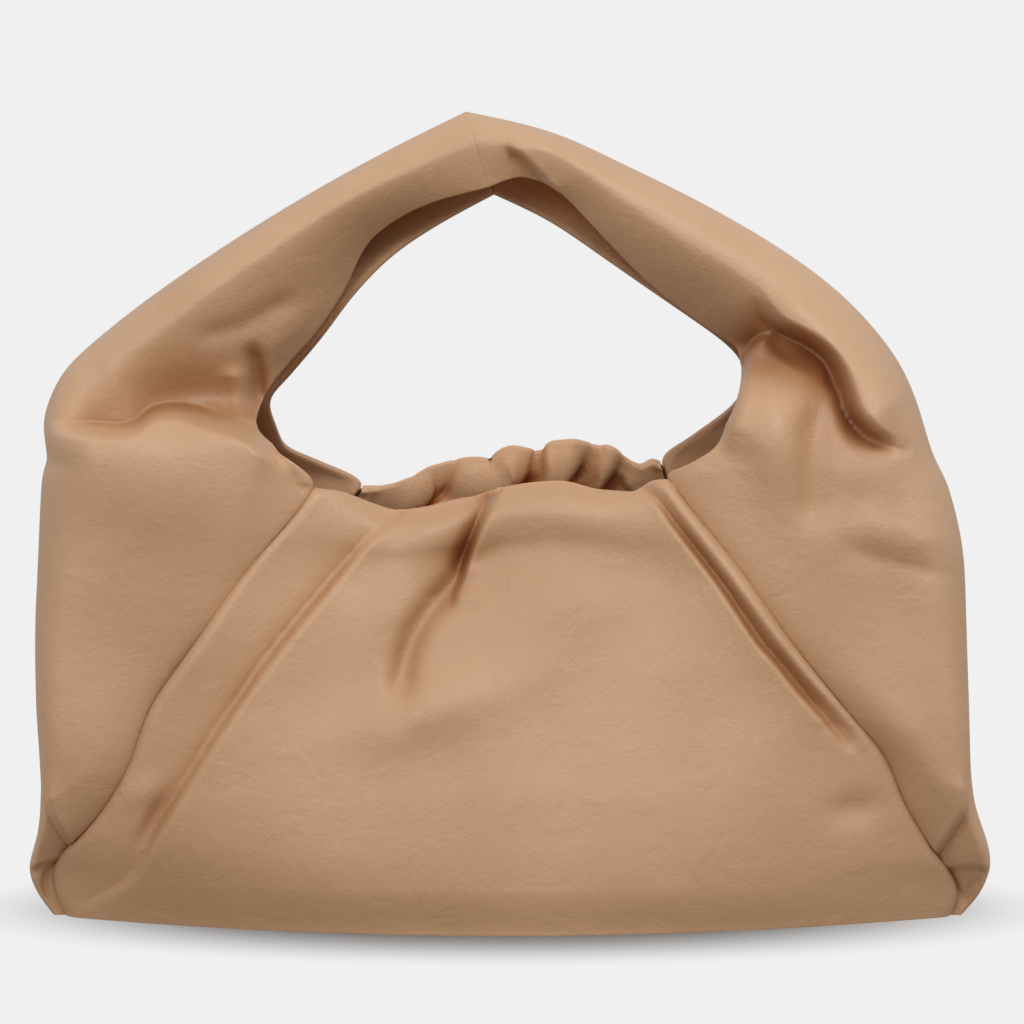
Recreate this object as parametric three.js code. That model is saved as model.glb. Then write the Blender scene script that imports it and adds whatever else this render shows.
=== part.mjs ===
import * as THREE from 'three';

// A soft leather shoulder pouch. Two side pieces rise from the base corners, turn at an
// elbow and fold into the halves of a handle. A front and a back panel, each with pleats
// along its diagonal seams, close the body, and a gathered facing lines each rim.
// X runs across the front, -Y is the front, +Z is up, and the base rests on Z = 0.

// Driving dimensions in millimetres
const BASE_WIDTH = 430;
const RIM_HEIGHT = 190;
const HANDLE_RISE = 166;
const BODY_DEPTH = 160;
const BASE_DEPTH = 152;
const MOUTH_DEPTH = 70;
const HANDLE_DEPTH = 56;
const LEATHER = 2.4;
const FACING_LEATHER = 1.6;
const BASE_LEATHER = 3;
const FACING_CLEARANCE = 0.6;
const SEAM_GAP = 0.3;
const FOLD_HEIGHT = 10;
const GATHER_HEIGHT = 7;

// Leather colours and finish
const TAN = 0xc49c7a;
const TAN_DEEP = 0xa9805f;
const LEATHER_ROUGHNESS = 0.5;

// Mesh steps along the seams, along the handle, round a section and across the panels
const SEAM_STEPS = 19;
const HANDLE_STEPS = 19;
const TURN_STEPS = 8;
const EDGE_STEPS = 4;
const FACE_STEPS = 18;
const FACING_STEPS = 4;

// Place of the rim and of the handle's lower end along a side piece, from 0 at the base to 1
const RIM_AT = 0.5;
const HANDLE_AT = 0.75;

// Share of a half section that rounds the crest, before the leather turns towards the edge
const CREST_SHARE = 0.5;

// How much straighter than the body the handle leans in below its widest place
const UNDER_LEAN = 0.55;

// Widths are shares of half the base width. Heights are levels: 0 is the floor, 1 the rim
// and 2 the top of the handle. Depth is a share of half the body's depth and girth a share
// of half the handle's depth, and a section goes from the first to the second between the
// rim and the handle. The depths of its two edges are shares of its own, and widest is the
// share of the way in where it is deepest.
const SECTION_COLUMNS = [
  'at', 'crest_x', 'crest_z', 'front_x', 'front_z', 'front_y',
  'back_x', 'back_z', 'back_y', 'depth', 'girth', 'widest', 'square',
];

const LEFT_SECTIONS = table(SECTION_COLUMNS, [
  [0.00, -0.953, 0.00, -0.915, 0.00, 1.00, -0.915, 0.00, 1.00, 0.30, 2.2, 0.55, 2.2],
  [0.04, -0.985, 0.05, -0.935, 0.05, 1.00, -0.935, 0.05, 1.00, 0.31, 2.2, 0.50, 2.2],
  [0.08, -1.000, 0.10, -0.942, 0.10, 0.98, -0.942, 0.10, 0.98, 0.34, 2.2, 0.45, 2.2],
  [0.12, -0.988, 0.15, -0.922, 0.15, 0.96, -0.922, 0.15, 0.96, 0.45, 2.2, 0.40, 2.3],
  [0.16, -0.970, 0.22, -0.870, 0.21, 0.94, -0.870, 0.21, 0.94, 0.60, 2.2, 0.30, 2.4],
  [0.20, -0.964, 0.29, -0.820, 0.28, 0.94, -0.820, 0.28, 0.94, 0.68, 2.2, 0.30, 2.6],
  [0.26, -0.967, 0.39, -0.768, 0.38, 0.94, -0.768, 0.38, 0.94, 0.75, 2.2, 0.32, 2.8],
  [0.32, -0.973, 0.51, -0.728, 0.50, 0.94, -0.728, 0.50, 0.94, 0.80, 2.2, 0.34, 2.9],
  [0.38, -0.975, 0.66, -0.636, 0.65, 0.95, -0.636, 0.65, 0.95, 0.83, 2.2, 0.32, 2.9],
  [0.44, -0.970, 0.83, -0.526, 0.83, 0.90, -0.526, 0.83, 0.90, 0.81, 2.2, 0.30, 2.8],
  [0.50, -0.962, 1.03, -0.395, 1.013, 0.76, -0.306, 0.983, 0.62, 0.785, 2.2, 0.28, 2.7],
  [0.56, -0.952, 1.08, -0.430, 1.07, 0.80, -0.400, 1.05, 0.66, 0.78, 2.2, 0.28, 2.6],
  [0.62, -0.957, 1.13, -0.500, 1.13, 0.86, -0.482, 1.10, 0.72, 0.76, 2.1, 0.30, 2.5],
  [0.66, -0.962, 1.18, -0.525, 1.17, 0.80, -0.495, 1.15, 0.70, 0.7, 1.88, 0.32, 2.3],
  [0.70, -0.932, 1.29, -0.516, 1.225, 0.36, -0.508, 1.215, 0.62, 0.62, 1.60, 0.30, 2.1],
  [0.75, -0.828, 1.42, -0.470, 1.31, 0.20, -0.462, 1.29, 0.56, 0.55, 1.45, 0.28, 2.0],
  [0.80, -0.694, 1.55, -0.400, 1.41, 0.15, -0.388, 1.40, 0.28, 0.5, 1.30, 0.28, 2.0],
  [0.86, -0.538, 1.684, -0.336, 1.535, 0.18, -0.325, 1.507, 0.16, 0.5, 1.17, 0.32, 2.0],
  [0.91, -0.382, 1.805, -0.293, 1.65, 0.36, -0.247, 1.611, 0.16, 0.5, 1.07, 0.38, 2.0],
  [0.96, -0.227, 1.913, -0.173, 1.753, 0.62, -0.146, 1.70, 0.30, 0.5, 1, 0.46, 2.0],
  [1.00, -0.090, 2.00, -0.044, 1.798, 0.82, -0.033, 1.78, 0.50, 0.5, 0.94, 0.46, 2.0],
]);

const RIGHT_SECTIONS = table(SECTION_COLUMNS, [
  [0.00, 0.945, 0.00, 0.910, 0.00, 1.00, 0.910, 0.00, 1.00, 0.30, 2.2, 0.55, 2.2],
  [0.04, 0.982, 0.05, 0.925, 0.05, 1.00, 0.925, 0.05, 1.00, 0.33, 2.2, 0.50, 2.2],
  [0.08, 1.000, 0.11, 0.910, 0.10, 0.96, 0.910, 0.10, 0.96, 0.42, 2.2, 0.40, 2.2],
  [0.12, 0.990, 0.17, 0.876, 0.15, 0.92, 0.876, 0.15, 0.92, 0.56, 2.2, 0.30, 2.3],
  [0.16, 0.970, 0.23, 0.835, 0.22, 0.93, 0.835, 0.22, 0.93, 0.65, 2.2, 0.30, 2.4],
  [0.20, 0.952, 0.30, 0.798, 0.29, 0.93, 0.798, 0.29, 0.93, 0.73, 2.2, 0.30, 2.6],
  [0.26, 0.946, 0.40, 0.762, 0.39, 0.93, 0.762, 0.39, 0.93, 0.79, 2.2, 0.32, 2.8],
  [0.32, 0.944, 0.51, 0.680, 0.50, 0.96, 0.680, 0.50, 0.96, 0.83, 2.2, 0.34, 2.9],
  [0.38, 0.940, 0.66, 0.572, 0.65, 0.98, 0.572, 0.65, 0.98, 0.84, 2.2, 0.32, 2.9],
  [0.44, 0.936, 0.83, 0.460, 0.83, 0.92, 0.460, 0.83, 0.92, 0.82, 2.2, 0.30, 2.8],
  [0.50, 0.905, 1.00, 0.316, 1.037, 0.76, 0.318, 1.046, 0.62, 0.785, 2.2, 0.28, 2.7],
  [0.56, 0.872, 1.09, 0.365, 1.074, 0.80, 0.382, 1.117, 0.66, 0.78, 2.2, 0.28, 2.6],
  [0.61, 0.855, 1.16, 0.429, 1.13, 0.84, 0.434, 1.165, 0.70, 0.77, 2.15, 0.30, 2.5],
  [0.65, 0.838, 1.235, 0.466, 1.22, 0.82, 0.475, 1.21, 0.70, 0.75, 2, 0.32, 2.3],
  [0.69, 0.808, 1.325, 0.490, 1.31, 0.42, 0.494, 1.26, 0.62, 0.7, 1.68, 0.36, 2.1],
  [0.73, 0.755, 1.42, 0.484, 1.355, 0.26, 0.489, 1.32, 0.56, 0.62, 1.44, 0.38, 2.0],
  [0.77, 0.680, 1.52, 0.440, 1.395, 0.18, 0.459, 1.37, 0.50, 0.55, 1.32, 0.40, 2.0],
  [0.82, 0.560, 1.635, 0.367, 1.46, 0.18, 0.380, 1.445, 0.36, 0.5, 1.21, 0.42, 2.0],
  [0.87, 0.400, 1.755, 0.276, 1.555, 0.36, 0.295, 1.52, 0.30, 0.5, 1.13, 0.44, 2.0],
  [0.92, 0.235, 1.86, 0.174, 1.69, 0.60, 0.190, 1.614, 0.32, 0.5, 1.04, 0.46, 2.0],
  [0.965, 0.070, 1.955, 0.046, 1.838, 0.80, 0.075, 1.715, 0.45, 0.5, 0.98, 0.46, 2.0],
  [1.00, -0.090, 2.00, -0.044, 1.798, 0.82, -0.033, 1.78, 0.50, 0.5, 0.94, 0.46, 2.0],
]);

// Side profile of the panels, from the base to the rim. Reach is the share of half the
// base depth at the floor, of half the body's depth above it and of half the mouth's depth
// at the rim. Crown is how squarely the panel turns towards its two seams.
const PANEL_PROFILE = table(['at', 'reach', 'crown'], [
  [0.00, 1.00, 2.0],
  [0.10, 1.02, 2.2],
  [0.24, 1.03, 2.4],
  [0.40, 1.00, 2.6],
  [0.56, 0.92, 2.6],
  [0.70, 0.80, 2.4],
  [0.82, 0.66, 2.2],
  [0.92, 0.52, 2.2],
  [1.00, 1.00, 2.4],
]);
const PROFILE_BASE = 0.1;
const PROFILE_RIM = 0.92;

// Height of each rim along its width, from the left seam to the right
const FRONT_RIM = table(['at', 'level'], [
  [0.00, 1.013], [0.08, 0.999], [0.16, 0.970], [0.24, 0.947], [0.33, 0.957], [0.43, 0.976],
  [0.50, 0.982], [0.54, 1.000], [0.62, 1.015], [0.70, 1.020], [0.80, 1.000], [0.90, 0.998],
  [0.96, 1.034], [1.00, 1.037],
]);
const BACK_RIM = table(['at', 'level'], [
  [0.00, 0.983], [0.08, 0.980], [0.19, 0.990], [0.25, 1.023], [0.31, 1.040], [0.39, 1.031],
  [0.44, 1.026], [0.50, 1.064], [0.58, 1.066], [0.66, 1.083], [0.76, 1.088], [0.84, 1.070],
  [0.92, 1.034], [0.96, 1.056], [1.00, 1.046],
]);
const RIM_WAVE_POWER = 5;

// Inner line of each pleat, as a share of half the base width at each level of the panel
const PLEATS = table(['at', 'left', 'right'], [
  [0.00, -0.880, 0.880],
  [0.08, -0.850, 0.845],
  [0.15, -0.750, 0.815],
  [0.25, -0.700, 0.780],
  [0.35, -0.652, 0.735],
  [0.47, -0.586, 0.652],
  [0.60, -0.513, 0.553],
  [0.70, -0.444, 0.478],
  [0.81, -0.375, 0.398],
  [0.90, -0.312, 0.338],
  [1.00, -0.225, 0.255],
]);

// Folds seen from the front. A lip stands proud on the right of its line and falls off
// over its reach, and a ridge or a valley is even on both sides. Height is a share of the
// fold height, width and reach are shares of half the base width, and the points are
// shares and levels. Start and end say how much of the height is left at the two ends.
const FOLD_COLUMNS = ['kind', 'height', 'width', 'reach', 'start', 'end', 'points'];
const FRONT_FOLDS = table(FOLD_COLUMNS, [
  // Pleats
  ['lip', 0.75, 0.020, 0.16, 0, 0.4, [
    [-0.860, 0.08], [-0.740, 0.15], [-0.655, 0.34], [-0.515, 0.60], [-0.378, 0.81], [-0.235, 0.95],
  ]],
  ['lip', 0.55, 0.020, 0.14, 0.4, 0, [
    [0.255, 0.99], [0.364, 0.87], [0.538, 0.62], [0.687, 0.43], [0.80, 0.30],
  ]],
  ['valley', 0.35, 0.022, 0, 0, 0, [[0.33, 0.97], [0.48, 0.76], [0.62, 0.55], [0.74, 0.42]]],
  // Central folds
  ['valley', 0.90, 0.060, 0, 0.9, 0, [
    [-0.042, 1.02], [-0.06, 0.91], [-0.10, 0.81], [-0.165, 0.73], [-0.205, 0.62], [-0.21, 0.54],
  ]],
  ['ridge', 0.55, 0.070, 0, 0.5, 0, [[-0.16, 0.96], [-0.20, 0.84], [-0.27, 0.74]]],
  ['ridge', 0.50, 0.090, 0, 0.6, 0, [[0.08, 1.02], [0.03, 0.86], [-0.02, 0.72], [-0.08, 0.60]]],
  ['ridge', 0.40, 0.100, 0, 0, 0, [[-0.24, 0.52], [-0.12, 0.46], [0.02, 0.46]]],
  // Left elbow
  ['lip', 0.60, 0.050, 0.28, 0.2, 0.7, [[-0.95, 1.20], [-0.82, 1.178], [-0.70, 1.212], [-0.54, 1.165]]],
  ['valley', 1.10, 0.100, 0, 0.4, 0.5, [[-0.95, 1.24], [-0.80, 1.235], [-0.66, 1.26], [-0.56, 1.24]]],
  ['valley', 0.40, 0.070, 0, 0, 0.6, [[-0.49, 1.42], [-0.525, 1.34], [-0.525, 1.20]]],
  ['ridge', 0.45, 0.080, 0, 0, 0.5, [[-0.61, 1.38], [-0.60, 1.31], [-0.59, 1.22]]],
  // Right elbow
  ['valley', 1.30, 0.060, 0, 0.6, 0.2, [
    [0.53, 1.42], [0.60, 1.40], [0.66, 1.31], [0.72, 1.20], [0.79, 1.11],
  ]],
  ['ridge', 0.70, 0.070, 0, 0.2, 0.2, [[0.52, 1.50], [0.64, 1.46], [0.73, 1.34], [0.80, 1.20]]],
  ['ridge', 0.50, 0.070, 0, 0.3, 0, [[0.52, 1.28], [0.57, 1.22], [0.60, 1.05]]],
  ['valley', 0.45, 0.070, 0, 0.5, 0, [[0.61, 1.22], [0.615, 1.03], [0.605, 0.86]]],
  ['valley', 0.40, 0.040, 0, 0, 0, [[0.66, 0.90], [0.73, 0.85], [0.80, 0.82], [0.88, 0.80]]],
  // Base corners
  ['valley', 0.50, 0.030, 0, 0.6, 0.3, [[-0.96, 0.24], [-0.93, 0.19], [-0.90, 0.17]]],
  ['valley', 0.50, 0.030, 0, 0.6, 0.3, [[0.955, 0.27], [0.93, 0.21], [0.89, 0.15]]],
  // Handle top
  ['valley', 0.45, 0.030, 0, 0, 0.6, [[-0.02, 1.90], [0.02, 1.86], [0.055, 1.80]]],
]);
const BACK_FOLDS = table(FOLD_COLUMNS, [
  ['lip', 0.60, 0.020, 0.16, 0, 0.4, [
    [-0.860, 0.08], [-0.740, 0.15], [-0.655, 0.34], [-0.515, 0.60], [-0.378, 0.81], [-0.235, 0.95],
  ]],
  ['lip', 0.50, 0.020, 0.14, 0.4, 0, [
    [0.255, 0.99], [0.364, 0.87], [0.538, 0.62], [0.687, 0.43], [0.80, 0.30],
  ]],
  ['valley', 0.80, 0.060, 0, 0.9, 0, [[0.06, 1.04], [0.07, 0.90], [0.12, 0.78], [0.16, 0.64]]],
  ['valley', 0.60, 0.050, 0, 0.9, 0, [[-0.12, 1.02], [-0.13, 0.90], [-0.17, 0.80]]],
  ['lip', 0.60, 0.050, 0.28, 0.2, 0.7, [[-0.95, 1.20], [-0.82, 1.178], [-0.70, 1.212], [-0.54, 1.165]]],
  ['valley', 0.80, 0.080, 0, 0.4, 0.5, [[-0.95, 1.24], [-0.80, 1.235], [-0.66, 1.26], [-0.56, 1.24]]],
  ['valley', 0.90, 0.060, 0, 0.6, 0.2, [[0.55, 1.40], [0.64, 1.33], [0.72, 1.20], [0.79, 1.11]]],
]);

// Rolls of gathered leather along the two facings, as shares of the rim's width and of the
// gather height
const GATHER_COLUMNS = ['at', 'height', 'width'];
const BACK_GATHERS = table(GATHER_COLUMNS, [
  [0.14, 0.55, 0.045], [0.25, 0.90, 0.050], [0.36, 0.80, 0.045], [0.46, 0.95, 0.050],
  [0.62, 1.00, 0.090], [0.78, 0.90, 0.070], [0.89, 0.60, 0.040],
]);
const FRONT_GATHERS = table(GATHER_COLUMNS, [
  [0.20, 0.45, 0.050], [0.40, 0.60, 0.060], [0.60, 0.55, 0.070], [0.80, 0.45, 0.050],
]);

function table(columns, rows) {
  return rows.map((row) => Object.fromEntries(columns.map((name, index) => [name, row[index]])));
}

function mix(a, b, share) {
  return a + (b - a) * share;
}

function smoothstep(low, high, value) {
  const share = Math.min(1, Math.max(0, (value - low) / (high - low)));
  return share * share * (3 - 2 * share);
}

function across(share) {
  return share * BASE_WIDTH / 2;
}

function up(level) {
  return level <= 1 ? level * RIM_HEIGHT : RIM_HEIGHT + (level - 1) * HANDLE_RISE;
}

// Smooth value of a column between rows, with no overshoot past either neighbour
function along(rows, column, at) {
  const last = rows.length - 1;
  let index = 0;
  while (index < last - 1 && rows[index + 1].at < at) {
    index += 1;
  }
  const slope = (i) => (rows[i + 1][column] - rows[i][column]) / (rows[i + 1].at - rows[i].at);
  const tangent = (i) => {
    if (i === 0) {
      return slope(0);
    }
    if (i === last) {
      return slope(last - 1);
    }
    const before = slope(i - 1);
    const after = slope(i);
    return before * after <= 0 ? 0 : 2 * before * after / (before + after);
  };
  const start = rows[index];
  const end = rows[index + 1];
  const span = end.at - start.at;
  const t = Math.min(1, Math.max(0, (at - start.at) / span));
  const risen = t * t * (3 - 2 * t);
  const leaving = t * (1 - t) * (1 - t) * span * tangent(index);
  const arriving = t * t * (t - 1) * span * tangent(index + 1);
  return start[column] + (end[column] - start[column]) * risen + leaving + arriving;
}

// One section of a side piece: its crest, its two edges and its half depth
function section(rows, at) {
  const value = (column) => along(rows, column, at);
  const folded = smoothstep(RIM_AT, HANDLE_AT, at);
  const depth = mix(value('depth') * BODY_DEPTH, value('girth') * HANDLE_DEPTH, folded) / 2;
  const edge = (name, side) => new THREE.Vector3(
    across(value(`${name}_x`)),
    side * depth * value(`${name}_y`),
    up(value(`${name}_z`)),
  );
  return {
    crest: new THREE.Vector3(across(value('crest_x')), 0, up(value('crest_z'))),
    front: edge('front', -1),
    back: edge('back', 1),
    depth,
    widest: value('widest'),
    square: value('square'),
  };
}

// Point of a side piece at a turn from -1 on its front edge over 0 on the crest to 1 behind
function sidePoint(rows, at, turn) {
  const { crest, front, back, depth, widest, square } = section(rows, at);
  const edge = turn < 0 ? front : back;
  const share = Math.abs(turn);
  const power = 2 / square;
  let inward;
  let reach;
  if (share <= CREST_SHARE) {
    const angle = share / CREST_SHARE * Math.PI / 2;
    inward = widest * (1 - Math.cos(angle) ** power);
    reach = depth * Math.sin(angle) ** power;
  } else {
    const rest = (share - CREST_SHARE) / (1 - CREST_SHARE);
    inward = mix(widest, 1, rest);
    const lean = UNDER_LEAN * smoothstep(RIM_AT, HANDLE_AT, at);
    reach = mix(Math.abs(edge.y), depth, 1 - rest ** (2 - lean));
  }
  const point = crest.clone().lerp(edge, inward);
  point.y = Math.sign(turn) * reach;
  return point;
}

// Half depth of a panel's middle at a share of the way up its seams
function panelReach(at) {
  const base = BASE_DEPTH / 2;
  const body = BODY_DEPTH / 2;
  const mouth = MOUTH_DEPTH / 2;
  const lower = mix(base, body, smoothstep(0, PROFILE_BASE, at));
  return along(PANEL_PROFILE, 'reach', at) * mix(lower, mouth, smoothstep(PROFILE_RIM, 1, at));
}

// Shares of the columns across a panel: the two pleats have columns of their own
function panelColumns() {
  const columns = [];
  for (let step = 0; step < EDGE_STEPS; step += 1) {
    columns.push({ zone: 'left', share: step / EDGE_STEPS });
  }
  for (let step = 0; step < FACE_STEPS; step += 1) {
    columns.push({ zone: 'middle', share: step / FACE_STEPS });
  }
  for (let step = 0; step <= EDGE_STEPS; step += 1) {
    columns.push({ zone: 'right', share: step / EDGE_STEPS });
  }
  return columns;
}

function panelPoint(side, rim, column, at) {
  const name = side < 0 ? 'front' : 'back';
  const left = section(LEFT_SECTIONS, at * RIM_AT)[name];
  const right = section(RIGHT_SECTIONS, at * RIM_AT)[name];
  const pleatLeft = across(along(PLEATS, 'left', at));
  const pleatRight = across(along(PLEATS, 'right', at));
  const starts = { left: left.x, middle: pleatLeft, right: pleatRight };
  const ends = { left: pleatLeft, middle: pleatRight, right: right.x };
  const x = mix(starts[column.zone], ends[column.zone], column.share);
  const place = (x - left.x) / (right.x - left.x);
  const straight = mix(left.z, right.z, place);
  const wave = up(along(rim, 'level', place)) - mix(up(rim[0].level), up(rim.at(-1).level), place);
  const crown = 1 - Math.abs(2 * place - 1) ** along(PANEL_PROFILE, 'crown', at);
  const edgeReach = mix(Math.abs(left.y), Math.abs(right.y), place);
  const reach = mix(edgeReach, panelReach(at), crown);
  return new THREE.Vector3(x, side * reach, straight + wave * at ** RIM_WAVE_POWER);
}

// Nearest place on a fold's line: signed distance, positive on the right, and share along it
function nearestOnLine(points, x, z) {
  const lengths = [0];
  for (let i = 1; i < points.length; i += 1) {
    lengths.push(lengths[i - 1] + points[i].distanceTo(points[i - 1]));
  }
  const here = new THREE.Vector2(x, z);
  let best = { distance: Infinity, share: 0 };
  for (let i = 0; i < points.length - 1; i += 1) {
    const run = points[i + 1].clone().sub(points[i]);
    const offset = here.clone().sub(points[i]);
    const raw = offset.dot(run) / run.lengthSq();
    const t = Math.min(1, Math.max(0, raw));
    const gap = offset.clone().addScaledVector(run, -t).length();
    if (gap < Math.abs(best.distance)) {
      const handed = run.x * offset.y - run.y * offset.x > 0 ? -1 : 1;
      best = { distance: handed * gap, share: (lengths[i] + t * run.length()) / lengths.at(-1) };
    }
  }
  return best;
}

function foldHeight(fold, x, z) {
  const points = fold.points.map(([share, level]) => new THREE.Vector2(across(share), up(level)));
  const { distance, share } = nearestOnLine(points, x, z);
  const width = across(fold.width);
  const rise = mix(fold.start, 1, smoothstep(0, 0.25, share));
  const fall = mix(1, fold.end, smoothstep(0.7, 1, share));
  const height = fold.height * FOLD_HEIGHT * rise * fall;
  if (fold.kind === 'lip') {
    const edge = smoothstep(-width, width, distance);
    return height * edge * Math.exp(-Math.max(0, distance) / across(fold.reach));
  }
  const bump = height * Math.exp(-((distance / width) ** 2));
  return fold.kind === 'valley' ? -bump : bump;
}

// Moves a point of the front or the back out or in by the folds that pass it
function folded(point, weight) {
  const folds = point.y < 0 ? FRONT_FOLDS : BACK_FOLDS;
  const total = folds.reduce((sum, fold) => sum + foldHeight(fold, point.x, point.z), 0);
  point.y += Math.sign(point.y) * total * weight;
  return point;
}

function sideGrid(rows, hand) {
  const steps = SEAM_STEPS + HANDLE_STEPS;
  const grid = [];
  for (let i = 0; i <= steps; i += 1) {
    const at = i <= SEAM_STEPS
      ? RIM_AT * i / SEAM_STEPS
      : mix(RIM_AT, 1, (i - SEAM_STEPS) / HANDLE_STEPS);
    const line = [];
    for (let j = -TURN_STEPS; j <= TURN_STEPS; j += 1) {
      const turn = hand * j / TURN_STEPS;
      const weight = smoothstep(0, CREST_SHARE, Math.abs(turn));
      line.push(folded(sidePoint(rows, at, turn), weight));
    }
    grid.push(line);
  }
  return grid;
}

function panelGrid(side, rim) {
  const columns = panelColumns();
  const grid = [];
  for (let i = 0; i <= SEAM_STEPS; i += 1) {
    const line = columns.map((column) => folded(panelPoint(side, rim, column, i / SEAM_STEPS), 1));
    grid.push(side < 0 ? line : line.reverse());
  }
  return grid;
}

// Outward normals of a grid whose lines run up and whose columns run anticlockwise from above
function gridNormals(grid) {
  const clamp = (value, limit) => Math.min(limit, Math.max(0, value));
  return grid.map((line, i) => line.map((_, j) => {
    const upward = grid[clamp(i + 1, grid.length - 1)][j].clone();
    upward.sub(grid[clamp(i - 1, grid.length - 1)][j]);
    const sideways = line[clamp(j + 1, line.length - 1)].clone();
    sideways.sub(line[clamp(j - 1, line.length - 1)]);
    const normal = sideways.cross(upward).normalize();
    if (i === 0) {
      normal.setZ(0).normalize();
    }
    return normal;
  }));
}

// Gives two pieces the same normals where their edges meet, so that both walls are mitred
function mitre(normalsA, edgeA, normalsB, edgeB, lines) {
  for (let i = 0; i < lines; i += 1) {
    const [rowA, columnA] = edgeA(i);
    const [rowB, columnB] = edgeB(i);
    const shared = normalsA[rowA][columnA].clone().add(normalsB[rowB][columnB]).normalize();
    normalsA[rowA][columnA] = shared.clone();
    normalsB[rowB][columnB] = shared.clone();
  }
}

// Closes two grids, one over the other, into one solid wall
function wallGeometry(outer, inner) {
  const lines = outer.length;
  const columns = outer[0].length;
  const positions = [];
  [outer, inner].forEach((grid) => grid.flat().forEach((p) => positions.push(p.x, p.y, p.z)));
  const id = (face, i, j) => face * lines * columns + i * columns + j;
  const indices = [];
  const quad = (a, b, c, d) => indices.push(a, b, c, a, c, d);
  for (let i = 0; i < lines - 1; i += 1) {
    for (let j = 0; j < columns - 1; j += 1) {
      quad(id(0, i, j), id(0, i, j + 1), id(0, i + 1, j + 1), id(0, i + 1, j));
      quad(id(1, i, j), id(1, i + 1, j), id(1, i + 1, j + 1), id(1, i, j + 1));
    }
  }
  for (let i = 0; i < lines - 1; i += 1) {
    quad(id(0, i, 0), id(0, i + 1, 0), id(1, i + 1, 0), id(1, i, 0));
    quad(id(0, i, columns - 1), id(1, i, columns - 1), id(1, i + 1, columns - 1), id(0, i + 1, columns - 1));
  }
  for (let j = 0; j < columns - 1; j += 1) {
    quad(id(0, 0, j), id(1, 0, j), id(1, 0, j + 1), id(0, 0, j + 1));
    quad(id(0, lines - 1, j), id(0, lines - 1, j + 1), id(1, lines - 1, j + 1), id(1, lines - 1, j));
  }
  return closedGeometry(positions, indices);
}

// Draws an edge of a grid back along the leather by half of the seam gap
function trimEdges(grid, edges) {
  const trimmed = grid.map((line) => line.map((point) => point.clone()));
  const pull = (i, j, toI, toJ) => {
    const direction = grid[toI][toJ].clone().sub(grid[i][j]).normalize();
    trimmed[i][j].addScaledVector(direction, SEAM_GAP / 2);
  };
  const last = grid[0].length - 1;
  if (edges.sides) {
    for (let i = 0; i <= edges.sides; i += 1) {
      pull(i, 0, i, 1);
      pull(i, last, i, last - 1);
    }
  }
  if (edges.end) {
    grid.at(-1).forEach((_, j) => pull(grid.length - 1, j, grid.length - 2, j));
  }
  return trimmed;
}

function leatherWall(grid, normals, edges) {
  const inner = grid.map((line, i) => line.map((point, j) => (
    point.clone().addScaledVector(normals[i][j], -LEATHER)
  )));
  return wallGeometry(trimEdges(grid, edges), trimEdges(inner, edges));
}

function gatherHeight(gathers, place) {
  return gathers.reduce((height, roll) => (
    height + roll.height * Math.exp(-(((place - roll.at) / roll.width) ** 2))
  ), 0) * GATHER_HEIGHT;
}

// The facing follows the inside of its panel's rim and bulges away from it in soft rolls
function facingWall(grid, normals, gathers) {
  const first = EDGE_STEPS / 2;
  const last = grid[0].length - 1 - first;
  const top = grid.length - 1;
  const layers = [[], []];
  for (let step = FACING_STEPS; step >= 0; step -= 1) {
    const i = top - step;
    const swell = Math.sin(Math.PI * mix(0.25, 1, step / FACING_STEPS));
    const lines = [[], []];
    for (let j = first; j <= last; j += 1) {
      const place = (j - first) / (last - first);
      const ends = Math.sin(Math.PI * place) ** 0.5;
      const puff = gatherHeight(gathers, place) * swell * ends;
      const depth = LEATHER + FACING_CLEARANCE + puff;
      lines[0].push(grid[i][j].clone().addScaledVector(normals[i][j], -depth));
      lines[1].push(grid[i][j].clone().addScaledVector(normals[i][j], -depth - FACING_LEATHER));
    }
    layers[0].push(lines[0]);
    layers[1].push(lines[1]);
  }
  return wallGeometry(layers[0], layers[1]);
}

// Flat base inside the foot of the four walls, fanned from its centre
function baseSlab(walls) {
  const outline = [];
  walls.forEach(({ grid, normals }) => {
    grid[0].slice(0, -1).forEach((point, j) => {
      outline.push(point.clone().addScaledVector(normals[0][j], -LEATHER - SEAM_GAP));
    });
  });
  const count = outline.length;
  const positions = [0, 0, 0, 0, 0, BASE_LEATHER];
  outline.forEach(({ x, y }) => positions.push(x, y, 0, x, y, BASE_LEATHER));
  const indices = [];
  for (let i = 0; i < count; i += 1) {
    const low = 2 + 2 * i;
    const nextLow = 2 + 2 * ((i + 1) % count);
    indices.push(0, nextLow, low);
    indices.push(1, low + 1, nextLow + 1);
    indices.push(low, nextLow, nextLow + 1, low, nextLow + 1, low + 1);
  }
  return closedGeometry(positions, indices);
}

function closedGeometry(positions, indices) {
  const geometry = new THREE.BufferGeometry();
  geometry.setAttribute('position', new THREE.Float32BufferAttribute(positions, 3));
  geometry.setIndex(indices);
  geometry.computeVertexNormals();
  return geometry;
}

function leatherMesh(name, geometry, colour) {
  const material = new THREE.MeshStandardMaterial({
    color: colour,
    roughness: LEATHER_ROUGHNESS,
    metalness: 0,
  });
  const mesh = new THREE.Mesh(geometry, material);
  mesh.name = name;
  return mesh;
}

const front = panelGrid(-1, FRONT_RIM);
const back = panelGrid(1, BACK_RIM);
const right = sideGrid(RIGHT_SECTIONS, 1);
const left = sideGrid(LEFT_SECTIONS, -1);

const frontNormals = gridNormals(front);
const backNormals = gridNormals(back);
const rightNormals = gridNormals(right);
const leftNormals = gridNormals(left);

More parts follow.
